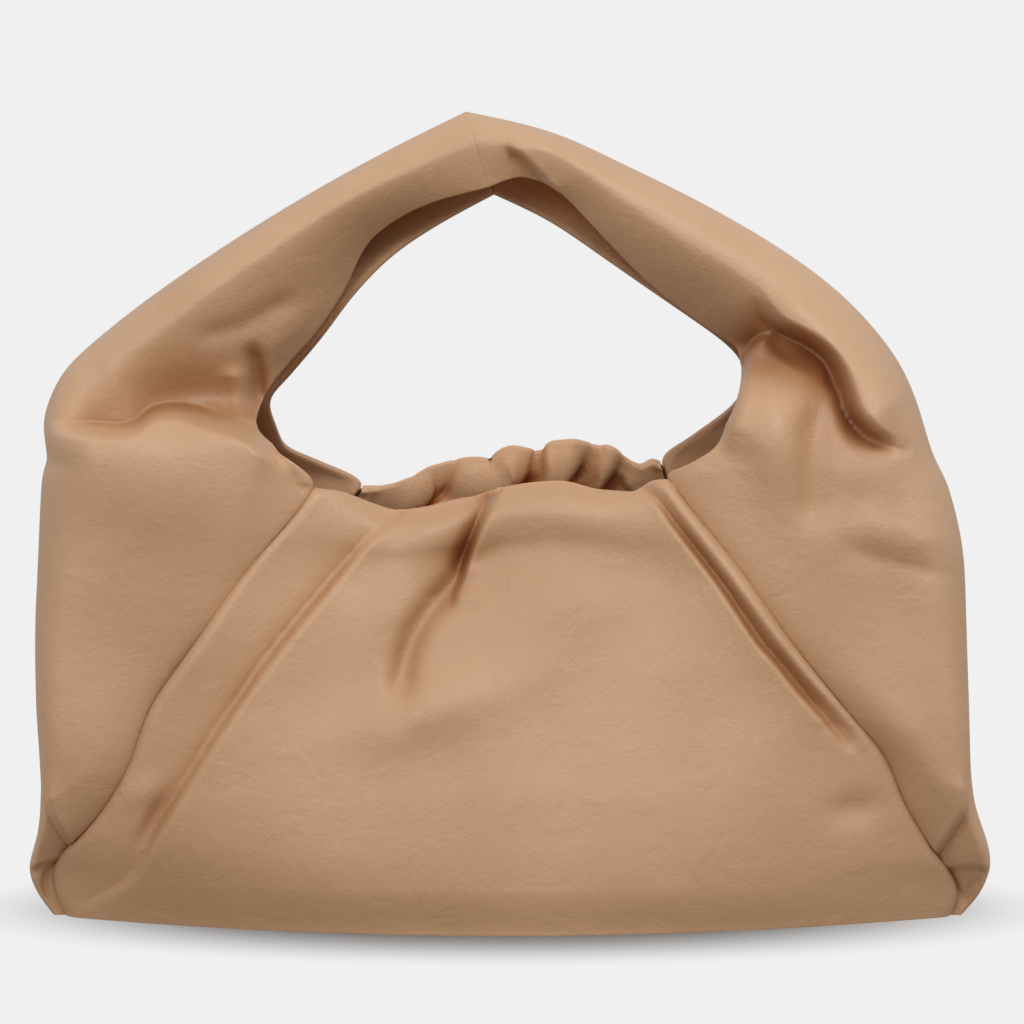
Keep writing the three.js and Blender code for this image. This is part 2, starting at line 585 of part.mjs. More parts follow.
const panelLast = front[0].length - 1;
const sideLast = right[0].length - 1;
const sideTop = right.length - 1;
mitre(frontNormals, (i) => [i, panelLast], rightNormals, (i) => [i, 0], SEAM_STEPS + 1);
mitre(rightNormals, (i) => [i, sideLast], backNormals, (i) => [i, 0], SEAM_STEPS + 1);
mitre(backNormals, (i) => [i, panelLast], leftNormals, (i) => [i, 0], SEAM_STEPS + 1);
mitre(leftNormals, (i) => [i, sideLast], frontNormals, (i) => [i, 0], SEAM_STEPS + 1);
mitre(
  leftNormals,
  (i) => [sideTop, i],
  rightNormals,
  (i) => [sideTop, sideLast - i],
  sideLast + 1,
);

const walls = [
  { grid: front, normals: frontNormals },
  { grid: right, normals: rightNormals },
  { grid: back, normals: backNormals },
  { grid: left, normals: leftNormals },
];
const panelEdges = { sides: SEAM_STEPS };
const sideEdges = { sides: SEAM_STEPS, end: true };

const bag = new THREE.Group();
bag.add(
  leatherMesh('front_panel', leatherWall(front, frontNormals, panelEdges), TAN),
  leatherMesh('back_panel', leatherWall(back, backNormals, panelEdges), TAN),
  leatherMesh('side_handle_left', leatherWall(left, leftNormals, sideEdges), TAN),
  leatherMesh('side_handle_right', leatherWall(right, rightNormals, sideEdges), TAN),
  leatherMesh('rim_facing_front', facingWall(front, frontNormals, FRONT_GATHERS), TAN_DEEP),
  leatherMesh('rim_facing_back', facingWall(back, backNormals, BACK_GATHERS), TAN_DEEP),
  leatherMesh('base_panel', baseSlab(walls), TAN_DEEP),
);

export default bag;
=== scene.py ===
import math

import bpy
import numpy as np
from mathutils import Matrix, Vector


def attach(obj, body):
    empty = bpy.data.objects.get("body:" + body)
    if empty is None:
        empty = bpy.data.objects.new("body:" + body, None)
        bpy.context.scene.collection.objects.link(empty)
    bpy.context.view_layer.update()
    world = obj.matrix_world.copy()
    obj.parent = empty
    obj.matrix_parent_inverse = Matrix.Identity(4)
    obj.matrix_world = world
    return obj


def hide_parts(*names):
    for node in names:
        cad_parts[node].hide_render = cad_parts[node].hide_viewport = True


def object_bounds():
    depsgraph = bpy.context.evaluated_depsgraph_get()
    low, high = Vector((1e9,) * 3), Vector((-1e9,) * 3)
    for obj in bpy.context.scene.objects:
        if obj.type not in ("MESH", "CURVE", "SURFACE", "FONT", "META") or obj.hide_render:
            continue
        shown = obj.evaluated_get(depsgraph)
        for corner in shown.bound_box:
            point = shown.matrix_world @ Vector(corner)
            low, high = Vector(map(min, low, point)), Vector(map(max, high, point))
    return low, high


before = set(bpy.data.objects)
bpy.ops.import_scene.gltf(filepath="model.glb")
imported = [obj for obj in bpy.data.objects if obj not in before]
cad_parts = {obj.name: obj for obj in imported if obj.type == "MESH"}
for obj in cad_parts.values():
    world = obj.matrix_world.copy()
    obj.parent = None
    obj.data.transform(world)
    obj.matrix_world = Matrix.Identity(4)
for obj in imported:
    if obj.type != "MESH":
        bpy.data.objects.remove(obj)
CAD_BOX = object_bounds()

# Sizes in millimetres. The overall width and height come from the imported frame.
METRE = 1000.0
BOX_LOW, BOX_HIGH = (np.array(corner) * METRE for corner in CAD_BOX)
BASE_WIDTH = BOX_HIGH[0] - BOX_LOW[0]
BAG_HEIGHT = BOX_HIGH[2] - BOX_LOW[2]
RIM_HEIGHT = 190.0
HANDLE_RISE = BAG_HEIGHT - RIM_HEIGHT
BODY_DEPTH = 160.0
BASE_DEPTH = 152.0
MOUTH_DEPTH = 70.0
HANDLE_DEPTH = 56.0
LEATHER = 2.4
FACING_LEATHER = 1.6
FACING_CLEARANCE = 0.6
BASE_LEATHER = 3.0
SEAM_GAP = 0.3
GATHER_HEIGHT = 9.0

# Mesh steps of the fine surfaces
SEAM_STEPS = 190
PLEAT_STEPS = 30
FACE_STEPS = 150
BODY_ROWS = 130
ELBOW_ROWS = 170
HANDLE_ROWS = 90
FRONT_TURNS = 84
BACK_TURNS = 40
FACING_STEPS = 60
EDGE_ROUNDING = 3
EDGE_FULLNESS = 0.6
ROLL_STEPS = 14
BEND_STEPS = 12
RIM_INSET_ROWS = 8
FACING_INSET = 3
ROLL_PROUD = 0.5
ROLL_DROP = 1.0

RIM_AT = 0.5
HANDLE_AT = 0.75
ELBOW_AT = 0.82
CREST_SHARE = 0.5
FINE_SAMPLES = 801
TABLE_SMOOTHING = 0.012

TAN_DARK = (0.49, 0.290, 0.160)
TAN_LIGHT = (0.56, 0.342, 0.202)
BACKDROP_TONE = 0.871
ROOM_LIGHT = 0.75
KEY_LIGHT = 13.5
FILL_LIGHT = 10.0
TOP_LIGHT = 1.0
LIGHT_TARGET = (0, 0, 0.15)

SECTION_COLUMNS = (
    "at", "crest_x", "crest_z", "front_x", "front_z", "front_y",
    "back_x", "back_z", "back_y", "depth", "girth", "widest", "square",
)


def table(columns, rows):
    return {name: np.array([row[i] for row in rows], float) for i, name in enumerate(columns)}


LEFT_SECTIONS = table(SECTION_COLUMNS, [
    (0.00, -0.953, 0.00, -0.915, 0.00, 1.00, -0.915, 0.00, 1.00, 0.30, 2.2, 0.55, 2.2),
    (0.04, -0.985, 0.05, -0.935, 0.05, 1.00, -0.935, 0.05, 1.00, 0.31, 2.2, 0.50, 2.2),
    (0.08, -1.000, 0.10, -0.942, 0.10, 0.98, -0.942, 0.10, 0.98, 0.34, 2.2, 0.45, 2.2),
    (0.12, -0.988, 0.15, -0.922, 0.15, 0.96, -0.922, 0.15, 0.96, 0.45, 2.2, 0.40, 2.3),
    (0.16, -0.970, 0.22, -0.870, 0.21, 0.94, -0.870, 0.21, 0.94, 0.60, 2.2, 0.30, 2.4),
    (0.20, -0.964, 0.29, -0.820, 0.28, 0.94, -0.820, 0.28, 0.94, 0.68, 2.2, 0.30, 2.6),
    (0.26, -0.967, 0.39, -0.768, 0.38, 0.94, -0.768, 0.38, 0.94, 0.75, 2.2, 0.32, 2.8),
    (0.32, -0.973, 0.51, -0.728, 0.50, 0.94, -0.728, 0.50, 0.94, 0.80, 2.2, 0.34, 2.9),
    (0.38, -0.975, 0.66, -0.636, 0.65, 0.95, -0.636, 0.65, 0.95, 0.83, 2.2, 0.32, 2.9),
    (0.44, -0.970, 0.83, -0.526, 0.83, 0.90, -0.526, 0.83, 0.90, 0.81, 2.2, 0.30, 2.8),
    (0.50, -0.962, 1.03, -0.395, 1.013, 0.76, -0.306, 0.983, 0.62, 0.785, 2.2, 0.28, 2.7),
    (0.56, -0.952, 1.08, -0.430, 1.07, 0.80, -0.400, 1.05, 0.66, 0.78, 2.2, 0.28, 2.6),
    (0.62, -0.957, 1.13, -0.500, 1.13, 0.86, -0.482, 1.10, 0.72, 0.76, 2.1, 0.30, 2.5),
    (0.66, -0.962, 1.18, -0.525, 1.17, 0.80, -0.495, 1.15, 0.70, 0.7, 1.88, 0.32, 2.3),
    (0.70, -0.932, 1.29, -0.516, 1.225, 0.36, -0.508, 1.215, 0.62, 0.62, 1.60, 0.30, 2.1),
    (0.75, -0.828, 1.42, -0.470, 1.31, 0.20, -0.462, 1.29, 0.56, 0.55, 1.45, 0.28, 2.0),
    (0.80, -0.694, 1.55, -0.400, 1.41, 0.15, -0.388, 1.40, 0.28, 0.5, 1.30, 0.28, 2.0),
    (0.86, -0.538, 1.684, -0.336, 1.535, 0.18, -0.325, 1.507, 0.16, 0.5, 1.17, 0.32, 2.0),
    (0.91, -0.382, 1.805, -0.293, 1.65, 0.36, -0.247, 1.611, 0.16, 0.5, 1.07, 0.38, 2.0),
    (0.96, -0.227, 1.913, -0.173, 1.753, 0.62, -0.146, 1.70, 0.30, 0.5, 1, 0.46, 2.0),
    (1.00, -0.090, 2.00, -0.044, 1.798, 0.82, -0.033, 1.78, 0.50, 0.5, 0.94, 0.46, 2.0),
])

RIGHT_SECTIONS = table(SECTION_COLUMNS, [
    (0.00, 0.945, 0.00, 0.910, 0.00, 1.00, 0.910, 0.00, 1.00, 0.30, 2.2, 0.55, 2.2),
    (0.04, 0.982, 0.05, 0.925, 0.05, 1.00, 0.925, 0.05, 1.00, 0.33, 2.2, 0.50, 2.2),
    (0.08, 1.000, 0.11, 0.910, 0.10, 0.96, 0.910, 0.10, 0.96, 0.42, 2.2, 0.40, 2.2),
    (0.12, 0.990, 0.17, 0.876, 0.15, 0.92, 0.876, 0.15, 0.92, 0.56, 2.2, 0.30, 2.3),
    (0.16, 0.970, 0.23, 0.835, 0.22, 0.93, 0.835, 0.22, 0.93, 0.65, 2.2, 0.30, 2.4),
    (0.20, 0.952, 0.30, 0.798, 0.29, 0.93, 0.798, 0.29, 0.93, 0.73, 2.2, 0.30, 2.6),
    (0.26, 0.946, 0.40, 0.762, 0.39, 0.93, 0.762, 0.39, 0.93, 0.79, 2.2, 0.32, 2.8),
    (0.32, 0.944, 0.51, 0.680, 0.50, 0.96, 0.680, 0.50, 0.96, 0.83, 2.2, 0.34, 2.9),
    (0.38, 0.940, 0.66, 0.572, 0.65, 0.98, 0.572, 0.65, 0.98, 0.84, 2.2, 0.32, 2.9),
    (0.44, 0.936, 0.83, 0.460, 0.83, 0.92, 0.460, 0.83, 0.92, 0.82, 2.2, 0.30, 2.8),
    (0.50, 0.905, 1.00, 0.316, 1.037, 0.76, 0.318, 1.046, 0.62, 0.785, 2.2, 0.28, 2.7),
    (0.56, 0.872, 1.09, 0.365, 1.074, 0.80, 0.382, 1.117, 0.66, 0.78, 2.2, 0.28, 2.6),
    (0.61, 0.855, 1.16, 0.429, 1.13, 0.84, 0.434, 1.165, 0.70, 0.77, 2.15, 0.30, 2.5),
    (0.65, 0.838, 1.235, 0.466, 1.22, 0.82, 0.475, 1.21, 0.70, 0.75, 2, 0.32, 2.3),
    (0.69, 0.808, 1.325, 0.490, 1.31, 0.42, 0.494, 1.26, 0.62, 0.7, 1.68, 0.36, 2.1),
    (0.73, 0.755, 1.42, 0.484, 1.355, 0.26, 0.489, 1.32, 0.56, 0.62, 1.44, 0.38, 2.0),
    (0.77, 0.680, 1.52, 0.440, 1.395, 0.18, 0.459, 1.37, 0.50, 0.55, 1.32, 0.40, 2.0),
    (0.82, 0.560, 1.635, 0.367, 1.46, 0.18, 0.380, 1.445, 0.36, 0.5, 1.21, 0.42, 2.0),
    (0.87, 0.400, 1.755, 0.276, 1.555, 0.36, 0.295, 1.52, 0.30, 0.5, 1.13, 0.44, 2.0),
    (0.92, 0.235, 1.86, 0.174, 1.69, 0.60, 0.190, 1.614, 0.32, 0.5, 1.04, 0.46, 2.0),
    (0.965, 0.070, 1.955, 0.046, 1.838, 0.80, 0.075, 1.715, 0.45, 0.5, 0.98, 0.46, 2.0),
    (1.00, -0.090, 2.00, -0.044, 1.798, 0.82, -0.033, 1.78, 0.50, 0.5, 0.94, 0.46, 2.0),
])

PANEL_PROFILE = table(("at", "reach", "crown"), [
    (0.00, 1.00, 2.0),
    (0.10, 1.02, 2.2),
    (0.24, 1.03, 2.4),
    (0.40, 1.00, 2.6),
    (0.56, 0.92, 2.6),
    (0.70, 0.80, 2.4),
    (0.82, 0.66, 2.2),
    (0.92, 0.52, 2.2),
    (1.00, 1.00, 2.4),
])
PROFILE_BASE = 0.18
PROFILE_RIM = 0.92

FRONT_RIM = table(("at", "level"), [
    (0.00, 1.013), (0.08, 0.999), (0.16, 0.970), (0.24, 0.947), (0.33, 0.957), (0.43, 0.976),
    (0.50, 0.982), (0.54, 1.000), (0.62, 1.015), (0.70, 1.020), (0.80, 1.000), (0.90, 0.998),
    (0.96, 1.034), (1.00, 1.037),
])
BACK_RIM = table(("at", "level"), [
    (0.00, 0.983), (0.08, 0.980), (0.19, 0.990), (0.25, 1.023), (0.31, 1.040), (0.39, 1.031),
    (0.44, 1.026), (0.50, 1.064), (0.58, 1.066), (0.66, 1.083), (0.76, 1.088), (0.84, 1.070),
    (0.92, 1.034), (0.96, 1.056), (1.00, 1.046),
])
RIM_WAVE_POWER = 5

PLEATS = table(("at", "left", "right"), [
    (0.00, -0.880, 0.880),
    (0.08, -0.850, 0.845),
    (0.15, -0.750, 0.815),
    (0.25, -0.700, 0.780),
    (0.35, -0.652, 0.735),
    (0.47, -0.586, 0.652),
    (0.60, -0.513, 0.553),
    (0.70, -0.444, 0.478),
    (0.81, -0.375, 0.398),
    (0.90, -0.312, 0.338),
    (1.00, -0.225, 0.255),
])

# Folds are drawn on the plane of the picture, seen from the camera's place: across and down in
# 1024ths of its width. The raised side of a lap is on the right of its line, walking along it.
# pieces, height, roll, reach, dip, dip reach, tuck, start, end, line
LAPS = [
    ("front", 4.0, 11, 90, 2.8, 20, 0.6, 0.2, 0.4,
     [(86, 903), (128, 878), (148, 842), (180, 789), (222, 722), (272, 652), (325, 587), (366, 539),
      (398, 514)]),
    ("front", 3.6, 8, 80, 2.4, 11, 0.8, 0.5, 0.0,
     [(640, 488), (659, 503), (678, 529), (716, 578), (742, 616), (760, 643), (778, 663), (800, 691),
      (828, 722), (845, 742), (860, 757), (871, 768)]),
    ("front", 5.0, 9, 70, 6.5, 18, 1.6, 0.3, 1.0,
     [(455, 587), (459, 577), (473, 542), (486, 510), (494, 493), (500, 484)]),
    ("left", 6.0, 16, 60, 18.0, 56, 1.5, 0.0, 1.0,
     [(36, 412), (56, 420), (78, 425), (98, 427), (118, 428), (134, 423), (145, 414), (158, 408),
      (176, 407), (195, 411), (214, 418), (237, 425), (252, 432), (264, 441)]),
    ("right", 6.0, 7, 40, 8.0, 26, 2.5, 0.0, 0.0,
     [(716, 452), (728, 432), (736, 412), (745, 384), (749, 369), (753, 352), (760, 339), (770, 330),
      (778, 326)]),
    ("right", 7.0, 15, 50, 16.0, 30, 2.0, 0.0, 0.0,
     [(904, 450), (885, 444), (868, 432), (854, 413), (846, 392), (838, 372), (827, 356), (812, 344),
      (795, 335), (777, 326), (762, 312), (748, 294)]),
    ("right", 2.6, 34, 40, 2.4, 16, 0.5, 0.5, 0.0,
     [(950, 575), (926, 570), (905, 565), (885, 560), (867, 554), (852, 547), (836, 536)]),
    ("right", 3.5, 7, 25, 3.0, 12, 1.2, 1.0, 0.0,
     [(548, 186), (533, 170), (519, 156), (503, 147)]),
    ("right", 3.0, 8, 30, 3.0, 12, 1.2, 1.0, 1.0,
     [(969, 797), (967, 815), (955, 837), (942, 856)]),
    ("right", 2.0, 6, 12, 2.0, 6, 0.5, 1.0, 1.0,
     [(993, 879), (985, 873), (970, 873), (954, 874)]),
    ("left", 3.0, 8, 30, 3.0, 12, 1.2, 1.0, 1.0,
     [(66, 850), (57, 837), (48, 820), (45, 808)]),
    ("left", 2.0, 6, 12, 2.0, 6, 0.5, 1.0, 1.0,
     [(52, 866), (37, 870), (26, 876)]),
    ("back", 3.5, 9, 90, 3.5, 20, 1.2, 0.2, 0.4,
     [(82, 905), (137, 870), (158, 826), (200, 755), (246, 690), (300, 620), (345, 560), (398, 514)]),
    ("back", 3.2, 6, 80, 3.5, 9, 1.0, 0.5, 0.0,
     [(640, 488), (678, 529), (716, 578), (760, 643), (800, 691), (845, 742), (871, 768)]),
    ("back", 4.5, 9, 70, 4.5, 24, 1.2, 0.2, 0.0,
     [(560, 620), (556, 585), (545, 550), (538, 510), (534, 480)]),
    ("back_left", 5.0, 10, 60, 8.0, 42, 2.0, 0.0, 0.0,
     [(72, 426), (112, 422), (150, 414), (190, 412), (222, 420)]),
    ("back_right", 6.0, 14, 50, 8.0, 26, 2.0, 0.0, 0.0,
     [(904, 430), (868, 415), (840, 380), (815, 345), (780, 322), (748, 300)]),
    ("back_left", 3.0, 8, 30, 3.0, 12, 1.2, 1.0, 1.0,
     [(66, 850), (57, 837), (48, 820), (45, 808)]),
    ("back_right", 3.0, 8, 30, 3.0, 12, 1.2, 1.0, 1.0,
     [(969, 797), (967, 815), (955, 837), (942, 856)]),
]
# pieces, height, width, start, end, line: below zero for a valley
SWELLS = [
    ("front", -6.0, 14, 0.5, 0.2,
     [(466, 566), (448, 590), (430, 611), (417, 630), (408, 652), (402, 680), (395, 716)]),
    ("front", -1.4, 5, 0.4, 0.0, [(440, 600), (450, 604), (462, 608), (482, 603)]),
    ("front", 3.0, 9, 0.6, 0.3,
     [(668, 492), (700, 538), (745, 595), (784, 646), (814, 680), (845, 711), (881, 747)]),
    ("front", -1.0, 11, 0.0, 0.0, [(822, 722), (842, 735), (858, 750)]),
    ("left", 3.5, 13, 0.0, 0.8, [(236, 364), (236, 380), (237, 398), (240, 418)]),
    ("left", -6.0, 9, 0.0, 0.8, [(250, 340), (253, 358), (255, 376), (256, 394), (255, 412)]),
    ("left", -2.2, 11, 0.0, 0.0, [(186, 340), (212, 334), (238, 326), (262, 314), (285, 302), (308, 300)]),
    ("left", -1.5, 4, 0.3, 0.0, [(290, 470), (296, 483), (311, 492)]),
    ("left", -1.2, 5, 0.0, 0.0, [(218, 411), (232, 417), (248, 416)]),
    ("right", -4.0, 19, 0.6, 0.0, [(824, 388), (818, 420), (815, 450), (814, 480), (815, 510), (819, 540)]),
    ("right", -1.5, 6, 0.0, 0.0, [(870, 434), (886, 445), (906, 450), (910, 436)]),
    ("right", -1.5, 4, 0.6, 0.3, [(954, 876), (959, 886), (963, 895), (970, 907)]),
    ("right", -1.2, 4, 0.0, 0.3, [(985, 883), (975, 892), (971, 905)]),
    ("left", -1.8, 4, 0.5, 0.5, [(50, 868), (42, 877), (40, 888), (42, 899), (48, 909)]),
    ("back", -3.0, 16, 0.2, 0.0, [(430, 480), (420, 530), (400, 575)]),
    ("back_right", -3.5, 12, 0.0, 0.0, [(838, 536), (885, 557), (948, 572)]),
]
# pieces, height, across, down, half length, half width, slope in degrees: below zero for a dent
BULGES = [
    ("front", 4.0, 412, 562, 70, 27, 117),
    ("front", 3.0, 566, 596, 120, 44, 115),
    ("front", 6.0, 432, 708, 80, 34, -18),
    ("front", -3.5, 490, 558, 45, 26, 122),
    ("front", 2.5, 560, 505, 60, 22, 8),
    ("front", -1.0, 650, 620, 120, 50, 128),
    ("front", 1.5, 700, 690, 120, 50, 50),
    ("front", -3.0, 856, 812, 26, 17, -8),
    ("front", 1.6, 136, 796, 22, 14, -30),
    ("front", -2.5, 150, 825, 34, 10, -60),
    ("left", 5.0, 160, 490, 130, 52, 14),
    ("left", -4.5, 125, 655, 100, 62, 10),
    ("left", 3.0, 80, 775, 60, 40, 90),
    ("left", 2.5, 284, 336, 50, 16, -40),
    ("right", 5.0, 772, 430, 75, 27, 80),
    ("right", -3.0, 895, 610, 60, 34, 60),
    ("right", 4.0, 905, 735, 80, 26, 50),
    ("right", -2.5, 868, 505, 40, 26, 20),
    ("right", 3.0, 890, 395, 50, 18, 60),
    ("back", 4.0, 445, 560, 100, 30, 110),
    ("back", 3.5, 615, 570, 90, 28, 70),
    ("back", -2.5, 520, 600, 80, 30, 95),
    ("back_left", 3.0, 185, 452, 120, 30, 10),
    ("back_right", 3.0, 772, 430, 75, 27, 80),
    ("back_right", 3.0, 905, 735, 80, 26, 50),
]
PICTURE_SCALE = 4039.0
PICTURE_MIDDLE = 512.0
LEVEL_ROW = 238.0
CAMERA_ACROSS = 1.1
CAMERA_AHEAD = 1800.0
CAMERA_HEIGHT = 300.0
CAMERA_LENS = 142
CAMERA_TILT = 3.88
LINE_EXTENSION = 80.0
LINE_STEPS = 36
LINE_BLEND = 4.0
PAST_REACH = 14.0
PAST_SPREAD = 0.6
LIP_SOFTNESS = 0.6
TUCK_REACH = 14.0
RIM_ROLL = 6.0
RIM_ROLL_DEPTH = 3.0
SEAM_STEP = 2.2
SEAM_ROLL = 4.5
SEAM_REACH = 26.0
SEAM_DIP = 1.4
SEAM_DIP_REACH = 5.0
SEAM_SLANT = 0.8
SEAM_ENDS_ABOVE = 0.06
SEAM_FULL_BELOW = 0.02
UNDER_LEAN = 0.55

GATHER_COLUMNS = ("at", "height", "width", "slant")
BACK_GATHERS = table(GATHER_COLUMNS, [
    (0.20, 0.55, 0.030, 0.5), (0.32, 0.75, 0.040, 0.7), (0.38, 0.60, 0.030, 0.6), (0.51, 0.65, 0.045, 0.4),
    (0.62, 0.75, 0.060, 0.2), (0.84, 0.50, 0.040, 0.0),
    (0.15, -0.85, 0.018, 0.6), (0.245, -0.90, 0.018, 1.0), (0.425, -0.95, 0.018, 0.5),
    (0.72, -0.85, 0.028, 0.3), (0.945, -0.60, 0.012, 0.0),
])
FRONT_GATHERS = table(GATHER_COLUMNS, [
    (0.20, 0.45, 0.050, 0.0), (0.40, 0.60, 0.060, 0.0), (0.60, 0.55, 0.070, 0.0), (0.80, 0.45, 0.050, 0.0),
])
GATHER_LEVEL = 0.35
ROLL_START = 0.45
ROLL_LIFT = 0.15
ROLL_FULL = 0.12
ROLL_FALL_POWER = 0.6
FACING_WALL_SHARE = 0.6


def mix(a, b, share):
    return a + (b - a) * share


def smoothstep(low, high, value):
    share = np.clip((value - low) / (high - low), 0, 1)
    return share * share * (3 - 2 * share)


def across(share):
    return np.asarray(share) * BASE_WIDTH / 2


def up(level):
    level = np.asarray(level, float)
    return np.where(level <= 1, level * RIM_HEIGHT, RIM_HEIGHT + (level - 1) * HANDLE_RISE)


def monotone(knots, values, at):
    """Smooth values between knots, with no overshoot past either neighbour."""
    slopes = np.diff(values) / np.diff(knots)
    tangents = np.concatenate([slopes[:1], np.zeros(len(slopes) - 1), slopes[-1:]])
    before, after = slopes[:-1], slopes[1:]
    alike = before * after > 0
    tangents[1:-1][alike] = 2 * before[alike] * after[alike] / (before + after)[alike]
    index = np.clip(np.searchsorted(knots, at, side="right") - 1, 0, len(knots) - 2)
    span = knots[index + 1] - knots[index]
    t = np.clip((at - knots[index]) / span, 0, 1)
    risen = t * t * (3 - 2 * t)
    leaving = t * (1 - t) ** 2 * span * tangents[index]
    arriving = t * t * (t - 1) * span * tangents[index + 1]
    return mix(values[index], values[index + 1], risen) + leaving + arriving


FINE_CACHE = {}


def along(rows, column, at, smoothing=TABLE_SMOOTHING):
    """A table's column at the places asked for, rounded off over a short stretch."""
    key = (id(rows), column, smoothing)
    if key not in FINE_CACHE:
        fine = np.linspace(0, 1, FINE_SAMPLES)
        values = monotone(rows["at"], rows[column], fine)
        reach = int(3 * smoothing * FINE_SAMPLES) + 1
        offsets = np.arange(-reach, reach + 1) / (FINE_SAMPLES - 1)
        kernel = np.exp(-0.5 * (offsets / smoothing) ** 2)
        kernel /= kernel.sum()
        low = 2 * values[0] - values[reach:0:-1]
        high = 2 * values[-1] - values[-2:-reach - 2:-1]
        padded = np.concatenate([low, values, high])
        FINE_CACHE[key] = (fine, np.convolve(padded, kernel, mode="valid"))
    fine, values = FINE_CACHE[key]
    return np.interp(at, fine, values)


def section(rows, at):
    value = {name: along(rows, name, at) for name in SECTION_COLUMNS[1:]}
    folded = smoothstep(RIM_AT, HANDLE_AT, at)
    depth = mix(value["depth"] * BODY_DEPTH, value["girth"] * HANDLE_DEPTH, folded) / 2
    return {
        "crest": (across(value["crest_x"]), up(value["crest_z"])),
        "front": (across(value["front_x"]), depth * value["front_y"], up(value["front_z"])),
        "back": (across(value["back_x"]), depth * value["back_y"], up(value["back_z"])),
        "depth": depth,
        "widest": value["widest"],
        "square": value["square"],
    }


def side_points(rows, at, turn):
    """Grid of a side piece: turn runs from -1 on the front edge over 0 on the crest to 1 behind."""
    part = section(rows, at)
    at_column = {key: np.asarray(part[key])[..., None] for key in ("depth", "widest", "square")}
    ahead = (turn < 0)[None, :]
    edge = [np.where(ahead, part["front"][i][:, None], part["back"][i][:, None]) for i in range(3)]
    crest = [np.asarray(part["crest"][i])[:, None] for i in range(2)]
    share = np.abs(turn)[None, :]
    power = 2 / at_column["square"]
    angle = np.clip(share / CREST_SHARE, 0, 1) * math.pi / 2
    rest = np.clip((share - CREST_SHARE) / (1 - CREST_SHARE), 0, 1)
    rounding = share <= CREST_SHARE
    cosine = np.clip(np.cos(angle), 0, 1)
    widest = at_column["widest"]
    deepest = at_column["depth"]
    inward = np.where(rounding, widest * (1 - cosine ** power), mix(widest, 1, rest))
    folded = smoothstep(RIM_AT, HANDLE_AT, at)[:, None]
    under = 1 - rest ** (2 - UNDER_LEAN * folded)
    reach = np.where(rounding, deepest * np.sin(angle) ** power, mix(edge[1], deepest, under))
    x = mix(crest[0], edge[0], inward)
    z = mix(crest[1], edge[2], inward)
    return np.stack([x, np.sign(turn)[None, :] * reach, z], axis=-1)


def panel_reach(at):
    lower = mix(BASE_DEPTH / 2, BODY_DEPTH / 2, smoothstep(0, PROFILE_BASE, at))
    return along(PANEL_PROFILE, "reach", at) * mix(lower, MOUTH_DEPTH / 2, smoothstep(PROFILE_RIM, 1, at))


def panel_points(side, rim, at):
    """Grid of the front (side -1) or the back (side 1) from the left seam to the right."""
    edge = "front" if side < 0 else "back"
    left = [value[:, None] for value in section(LEFT_SECTIONS, at * RIM_AT)[edge]]
    right = [value[:, None] for value in section(RIGHT_SECTIONS, at * RIM_AT)[edge]]
    pleat_left = across(along(PLEATS, "left", at))[:, None]
    pleat_right = across(along(PLEATS, "right", at))[:, None]
    pleat = np.linspace(0, 1, PLEAT_STEPS, endpoint=False)[None, :]
    face = np.linspace(0, 1, FACE_STEPS, endpoint=False)[None, :]
    last = np.linspace(0, 1, PLEAT_STEPS + 1)[None, :]
    x = np.concatenate([
        mix(left[0], pleat_left, pleat),
        mix(pleat_left, pleat_right, face),
        mix(pleat_right, right[0], last),
    ], axis=1)
    place = (x - left[0]) / (right[0] - left[0])
    straight = mix(left[2], right[2], place)
    wave = up(along(rim, "level", place)) - mix(up(rim["level"][0]), up(rim["level"][-1]), place)
    column = at[:, None]
    crown = 1 - np.abs(2 * place - 1) ** along(PANEL_PROFILE, "crown", column)
    reach = mix(mix(left[1], right[1], place), panel_reach(column), crown)
    return np.stack([x, side * reach, straight + wave * column ** RIM_WAVE_POWER], axis=-1)


def picture_place(points):
    """Where each point is seen, from the camera in front or from its mirror place behind."""
    away = CAMERA_AHEAD - np.abs(points[..., 1])
    scale = PICTURE_SCALE / away
    return np.stack([PICTURE_MIDDLE + (points[..., 0] - CAMERA_ACROSS) * scale,
                     LEVEL_ROW + (CAMERA_HEIGHT - points[..., 2]) * scale], axis=-1)


def smooth_line(corners):
    """A fold's few points joined by one smooth line, with a straight lead at either end."""
    corners = np.array(corners, float)
    padded = np.vstack([2 * corners[0] - corners[1], corners, 2 * corners[-1] - corners[-2]])
    line = []
    for place in np.linspace(0, len(corners) - 1, LINE_STEPS):
        i = min(int(place), len(corners) - 2)
        t = place - i
        a, b, c, d = padded[i:i + 4]
        line.append(0.5 * (2 * b + (c - a) * t + (2 * a - 5 * b + 4 * c - d) * t ** 2
                           + (3 * b - a - 3 * c + d) * t ** 3))
    line = np.array(line)
    before = line[0] - line[1]
    after = line[-1] - line[-2]
    before *= LINE_EXTENSION / np.linalg.norm(before)
    after *= LINE_EXTENSION / np.linalg.norm(after)
    return np.vstack([line[0] + before, line, line[-1] + after])


